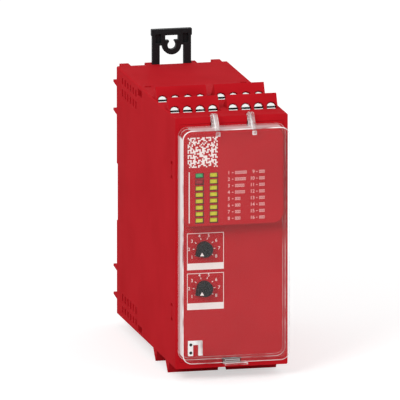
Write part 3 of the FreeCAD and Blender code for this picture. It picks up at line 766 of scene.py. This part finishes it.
class RELAY_OT_code_field(bpy.types.Operator):
    """Prints a made-up field of square cells and the thin upright line below it"""
    bl_idname = "relay.code_field"
    bl_label = "Code field"

    def execute(self, context):
        style = context.scene.relay_print
        raised, _ = panel_faces()
        ink = screen_ink("white_ink", style.white)
        bm = bmesh.new()
        count = style.code_cells
        left, top, side = -18.8 * MM, 43.2 * MM, 12.0 * MM
        cell = side / count
        for row in range(count):
            for column in range(count):
                if cell_is_inked(row, column):
                    block(bm, left + column * cell, left + (column + 1) * cell, raised,
                          raised - style.ink_height, top - (row + 1) * cell, top - row * cell)
        block(bm, -18.4 * MM, -18.0 * MM, raised, raised - style.ink_height, 9.2 * MM, 29.5 * MM)
        add_piece("code_field", mesh_from(bm, "code_field"), ink, "module", "housing_red")
        return {"FINISHED"}


class RELAY_OT_legend(bpy.types.Operator):
    """Prints two numbered columns with rows of small open boxes that stand for words"""
    bl_idname = "relay.legend"
    bl_label = "Legend"

    def execute(self, context):
        style = context.scene.relay_print
        raised, _ = panel_faces()
        ink = screen_ink("pale_ink", style.pale)
        bm = bmesh.new()
        step, first = 2.6 * MM, 28.6 * MM
        dash_start, dash_end, dash_half = -1.25, -0.7, 0.14     # millimetres from the start of the bars
        letter_step, letter_width, letter_half = 0.76, 0.6, 0.58
        columns = ((-1.9, 0.15, (4.8, 4.4, 3.8, 4.1, 2.2, 2.2, 2.2, 2.2)), (8.0, 9.8, (2.3,) * 8))
        for column, (number_x, bar_x, lengths) in enumerate(columns):
            for row, length in enumerate(lengths):
                z = first - row * step
                add_text(bm, str(column * 8 + row + 1), style.legend_text, number_x * MM, z, raised,
                         style.ink_height, "RIGHT", 0.02 * MM)
                block(bm, (bar_x + dash_start) * MM, (bar_x + dash_end) * MM, raised,
                      raised - style.ink_height, z - dash_half * MM, z + dash_half * MM)
                count = round(length / letter_step)
                for index in range(count):
                    x = bar_x + index * length / count
                    outline(bm, x * MM, (x + letter_width) * MM, z - letter_half * MM, z + letter_half * MM,
                            0.17 * MM, raised, style.ink_height)
        add_piece("legend", mesh_from(bm, "legend"), ink, "module", "housing_red")
        return {"FINISHED"}


def outline(bm, x0, x1, z0, z1, line, y, thickness):
    """Adds a thin rectangular frame."""
    block(bm, x0, x1, y, y - thickness, z1 - line, z1)
    block(bm, x0, x1, y, y - thickness, z0, z0 + line)
    block(bm, x0, x0 + line, y, y - thickness, z0 + line, z1 - line)
    block(bm, x1 - line, x1, y, y - thickness, z0 + line, z1 - line)


class RELAY_OT_dial_scales(bpy.types.Operator):
    """Prints the frame, ticks, digits and label strip of both selectors"""
    bl_idname = "relay.dial_scales"
    bl_label = "Dial scales"

    def execute(self, context):
        style = context.scene.relay_print
        _, lower = panel_faces()
        white = bpy.data.materials["white_ink"]
        frames, scales = bmesh.new(), bmesh.new()
        thick = style.ink_height
        tick_start, tick_end, tick_half = 3.8 * MM, 4.5 * MM, 0.14 * MM
        digits_across, digits_up = 6.0 * MM, 5.4 * MM
        for name, top, base in (("start", 3.95, -8.3), ("function", -12.05, -24.2)):
            shaft_low, shaft_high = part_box(name + "_switch")
            x = (shaft_low.x + shaft_high.x) / 2
            z = (shaft_low.z + shaft_high.z) / 2
            outline(frames, -17.8 * MM, -3.1 * MM, base * MM, top * MM, style.line, lower, thick)
            block(frames, -17.8 * MM, -3.1 * MM, lower, lower - thick, (base - 2.4) * MM, base * MM)
            for index in range(8):
                angle = DIAL_FIRST + DIAL_STEP * index
                out = Vector((math.sin(angle), 0, math.cos(angle)))
                tick = bmesh.new()
                block(tick, -tick_half, tick_half, 0, -thick, tick_start, tick_end)
                tick.transform(Matrix.Translation((x, lower, z)) @ Matrix.Rotation(angle, 4, "Y"))
                join(scales, tick)
                place = Vector((x + out.x * digits_across, 0, z + out.z * digits_up))
                add_text(scales, str(index + 1), style.dial_text, place.x, place.z, lower, thick,
                         weight=0.01 * MM)
        add_piece("dial_frames", mesh_from(frames, "dial_frames"), white, "module", "housing_red")
        add_piece("dial_scales", mesh_from(scales, "dial_scales"), white, "module", "housing_red")
        return {"FINISHED"}


class RELAY_OT_pointers(bpy.types.Operator):
    """Prints the white pointer triangle on each selector knob"""
    bl_idname = "relay.pointers"
    bl_label = "Knob pointers"

    def execute(self, context):
        style = context.scene.relay_print
        white = bpy.data.materials["white_ink"]
        reach, left, down = 0.95 * MM, 1.5 * MM, 1.8 * MM       # triangle's corners, and its place
        for name, body in (("start", "start_dial"), ("function", "function_dial")):
            low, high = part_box(name + "_switch")
            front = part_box(name + "_knob")[0].y
            bm = bmesh.new()
            cylinder(bm, reach, style.ink_height, 3, Matrix())
            bm.transform(Matrix.Rotation(math.pi / 2, 4, "X"))
            bm.transform(Matrix.Translation(((low.x + high.x) / 2 - left, front - style.ink_height / 2,
                                             (low.z + high.z) / 2 - down)))
            add_piece(name + "_pointer", mesh_from(bm, name + "_pointer"), white, body, "black_plastic")
        return {"FINISHED"}


class RELAY_OT_latch_spring(bpy.types.Operator):
    """Winds the rail latch's compression spring"""
    bl_idname = "relay.latch_spring"
    bl_label = "Latch spring"

    def execute(self, context):
        steel = plain_finish("spring_wire", "8C8C8A", "A9A9A6", 0.35, 1.0)
        low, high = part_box("latch_spring")
        middle = (low + high) / 2
        wire, coil = 0.22 * MM, 1.01 * MM
        turns, steps = 8, 24
        bm = bmesh.new()
        ring = bmesh.ops.create_circle(bm, cap_ends=False, segments=10, radius=wire)["verts"]
        rise = (high.z - low.z - 2 * wire) / turns
        matrix = Matrix.Translation((coil, 0, 0)) @ Matrix.Rotation(math.pi / 2, 4, "X")
        bmesh.ops.transform(bm, matrix=matrix, verts=ring)
        bmesh.ops.spin(bm, geom=bm.edges[:], cent=(0, 0, 0), axis=(0, 0, 1), dvec=(0, 0, rise / steps),
                       angle=math.tau * turns, steps=steps * turns, use_merge=False)
        ends = [edge for edge in bm.edges if edge.is_boundary]
        bmesh.ops.holes_fill(bm, edges=ends, sides=12)
        bm.transform(Matrix.Translation((middle.x, middle.y, low.z + wire)))
        piece = add_piece("latch_spring_wound", mesh_from(bm, "latch_spring"), steel, "module",
                          "spring_steel")
        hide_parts("latch_spring")
        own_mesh(piece)
        return {"FINISHED"}


class RELAY_OT_inner_parts(bpy.types.Operator):
    """Finishes the boards, relays and other pieces inside the housing"""
    bl_idname = "relay.inner_parts"
    bl_label = "Inner parts"

    def execute(self, context):
        finishes = {
            "clamp_steel": plain_finish("clamp_steel", "8F8F8B", "A8A8A3", 0.4, 1.0),
            "header_black": plain_finish("header_nylon", "17181A", "222326", 0.5),
            "tinned_pin": plain_finish("tinned_bronze", "B5B5AE", "CFCFC8", 0.3, 1.0),
            "switch_body": plain_finish("switch_resin", "2A2B2E", "3A3B3F", 0.5),
            "circuit_board": plain_finish("solder_resist", "0F4A26", "17602F", 0.35, spacing=0.001),
            "relay_case": plain_finish("relay_case_resin", "D8D3BF", "E6E2D2", 0.5),
            "transformer_core": plain_finish("varnished_laminations", "332F2E", "4A4543", 0.55, 0.6),
            "capacitor_sleeve": plain_finish("shrunk_sleeve", "14161F", "20232F", 0.35),
            "connector_body": plain_finish("connector_resin", "D6D2C4", "E4E1D6", 0.5),
        }
        for part in RECORD["subparts"]:
            material = finishes.get(part["material_slot"])
            if material:
                mesh = frame["nodes"][part["node"]].data
                mesh.materials.clear()
                mesh.materials.append(material)
        return {"FINISHED"}


def area_light(name, size, power, position, target):
    data = bpy.data.lights.new(name, "AREA")
    data.shape = "SQUARE"
    data.size = size
    data.energy = power
    lamp = bpy.data.objects.new(name, data)
    bpy.context.scene.collection.objects.link(lamp)
    lamp.location = position
    lamp.rotation_euler = (Vector(target) - Vector(position)).to_track_quat("-Z", "Y").to_euler()
    return lamp


class RELAY_OT_studio_stage(bpy.types.Operator):
    """Sets up the pale floor, the even studio light and the camera"""
    bl_idname = "relay.studio_stage"
    bl_label = "Studio stage"

    def add_floor(self):
        """White floor that takes the shadow; its own glow is seen by camera rays only."""
        glow, reach = 0.55, 20.0
        material, tree = new_material("white_paper_floor")
        rays = node(tree, "ShaderNodeLightPath")
        seen = node(tree, "ShaderNodeMath", {1: glow}, {0: rays.outputs["Is Camera Ray"]},
                    operation="MULTIPLY")
        shader = node(tree, "ShaderNodeBsdfPrincipled",
                      {"Base Color": linear("CFCFCF"), "Roughness": 0.9, "Specular IOR Level": 0.0,
                       "Emission Color": (1, 1, 1, 1)}, {"Emission Strength": seen.outputs["Value"]})
        finish_material(tree, shader.outputs["BSDF"])
        bm = bmesh.new()
        bmesh.ops.create_grid(bm, x_segments=1, y_segments=1, size=reach)
        bm.transform(Matrix.Translation((0, 0, CAD_BOX[0][2])))
        mesh = bpy.data.meshes.new("floor")
        bm.to_mesh(mesh)
        bm.free()
        mesh.materials.append(material)
        floor = bpy.data.objects.new("floor", mesh)
        bpy.context.scene.collection.objects.link(floor)

    def add_sky(self, style):
        """Even light for the surfaces, the backdrop's colour for what is seen, mirrored or looked through."""
        world = bpy.data.worlds.new("studio")
        bpy.context.scene.world = world
        world.use_nodes = True
        tree = world.node_tree
        tree.nodes.clear()
        rays = node(tree, "ShaderNodeLightPath")
        even = node(tree, "ShaderNodeBackground", {"Color": (1, 1, 1, 1), "Strength": style.sky})
        white = node(tree, "ShaderNodeBackground", {"Color": linear(style.backdrop), "Strength": 1.0})
        through = node(tree, "ShaderNodeMath", operation="MAXIMUM",
                       links={0: rays.outputs["Is Glossy Ray"], 1: rays.outputs["Is Transmission Ray"]})
        seen = node(tree, "ShaderNodeMath", operation="MAXIMUM",
                    links={0: rays.outputs["Is Camera Ray"], 1: through.outputs["Value"]})
        mix = node(tree, "ShaderNodeMixShader",
                   links={0: seen.outputs["Value"], 1: even.outputs["Background"],
                          2: white.outputs["Background"]})
        node(tree, "ShaderNodeOutputWorld", links={"Surface": mix.outputs["Shader"]})

    def add_camera(self, style):
        right = Vector((math.cos(style.azimuth), math.sin(style.azimuth), 0))
        out = Vector((math.sin(style.azimuth) * math.cos(style.elevation),
                      -math.cos(style.azimuth) * math.cos(style.elevation), math.sin(style.elevation)))
        up = out.cross(right)
        middle, aside, above = Vector((0, -55 * MM, 0)), -1.28 * MM, 6.18 * MM
        aim = middle + right * aside + up * above
        data = bpy.data.cameras.new("camera")
        data.sensor_width = 36.0
        data.lens = 36.0 * style.distance / style.field
        data.clip_end = 100.0
        camera = bpy.data.objects.new("camera", data)
        bpy.context.scene.collection.objects.link(camera)
        camera.location = aim + out * style.distance
        camera.rotation_euler = (-out).to_track_quat("-Z", "Y").to_euler()
        bpy.context.scene.camera = camera

    def execute(self, context):
        style = context.scene.relay_stage
        self.add_floor()
        self.add_sky(style)
        self.add_camera(style)
        area_light("key", 0.5, 10.0, (-0.95, -1.1, 0.86), (0, -0.05, 0))
        area_light("fill", 0.8, 1.5, (1.0, -1.2, 0.4), (0, -0.05, 0))
        context.scene.view_settings.view_transform = "Standard"
        return {"FINISHED"}


class RELAY_PT_panel(bpy.types.Panel):
    """Lists the pieces of the relay and their settings"""
    bl_label = "Safety relay"
    bl_idname = "RELAY_PT_panel"
    bl_space_type = "VIEW_3D"
    bl_region_type = "UI"
    bl_category = "Relay"

    def draw(self, context):
        for name in SETTINGS:
            box = self.layout.box()
            settings = getattr(context.scene, name)
            for key in settings.__annotations__:
                box.prop(settings, key)
        for operator in STEPS:
            self.layout.operator(operator.bl_idname)


STEPS = (
    RELAY_OT_moulded_case,
    RELAY_OT_clear_cover,
    RELAY_OT_black_parts,
    RELAY_OT_terminal_screws,
    RELAY_OT_indicators,
    RELAY_OT_code_field,
    RELAY_OT_legend,
    RELAY_OT_dial_scales,
    RELAY_OT_pointers,
    RELAY_OT_latch_spring,
    RELAY_OT_inner_parts,
    RELAY_OT_studio_stage,
)
SETTINGS = {
    "relay_plastic": RelayPlasticSettings,
    "relay_cover": RelayCoverSettings,
    "relay_metal": RelayMetalSettings,
    "relay_print": RelayPrintSettings,
    "relay_stage": RelayStageSettings,
}


def register():
    for group in SETTINGS.values():
        bpy.utils.register_class(group)
    for name, group in SETTINGS.items():
        setattr(bpy.types.Scene, name, PointerProperty(type=group))
    for step in STEPS:
        bpy.utils.register_class(step)
    bpy.utils.register_class(RELAY_PT_panel)


def unregister():
    bpy.utils.unregister_class(RELAY_PT_panel)
    for step in reversed(STEPS):
        bpy.utils.unregister_class(step)
    for name in SETTINGS:
        delattr(bpy.types.Scene, name)
    for group in reversed(list(SETTINGS.values())):
        bpy.utils.unregister_class(group)


def main():
    register()
    for step in STEPS:
        group, name = step.bl_idname.split(".")
        getattr(getattr(bpy.ops, group), name)()


if __name__ == "__main__":
    main()
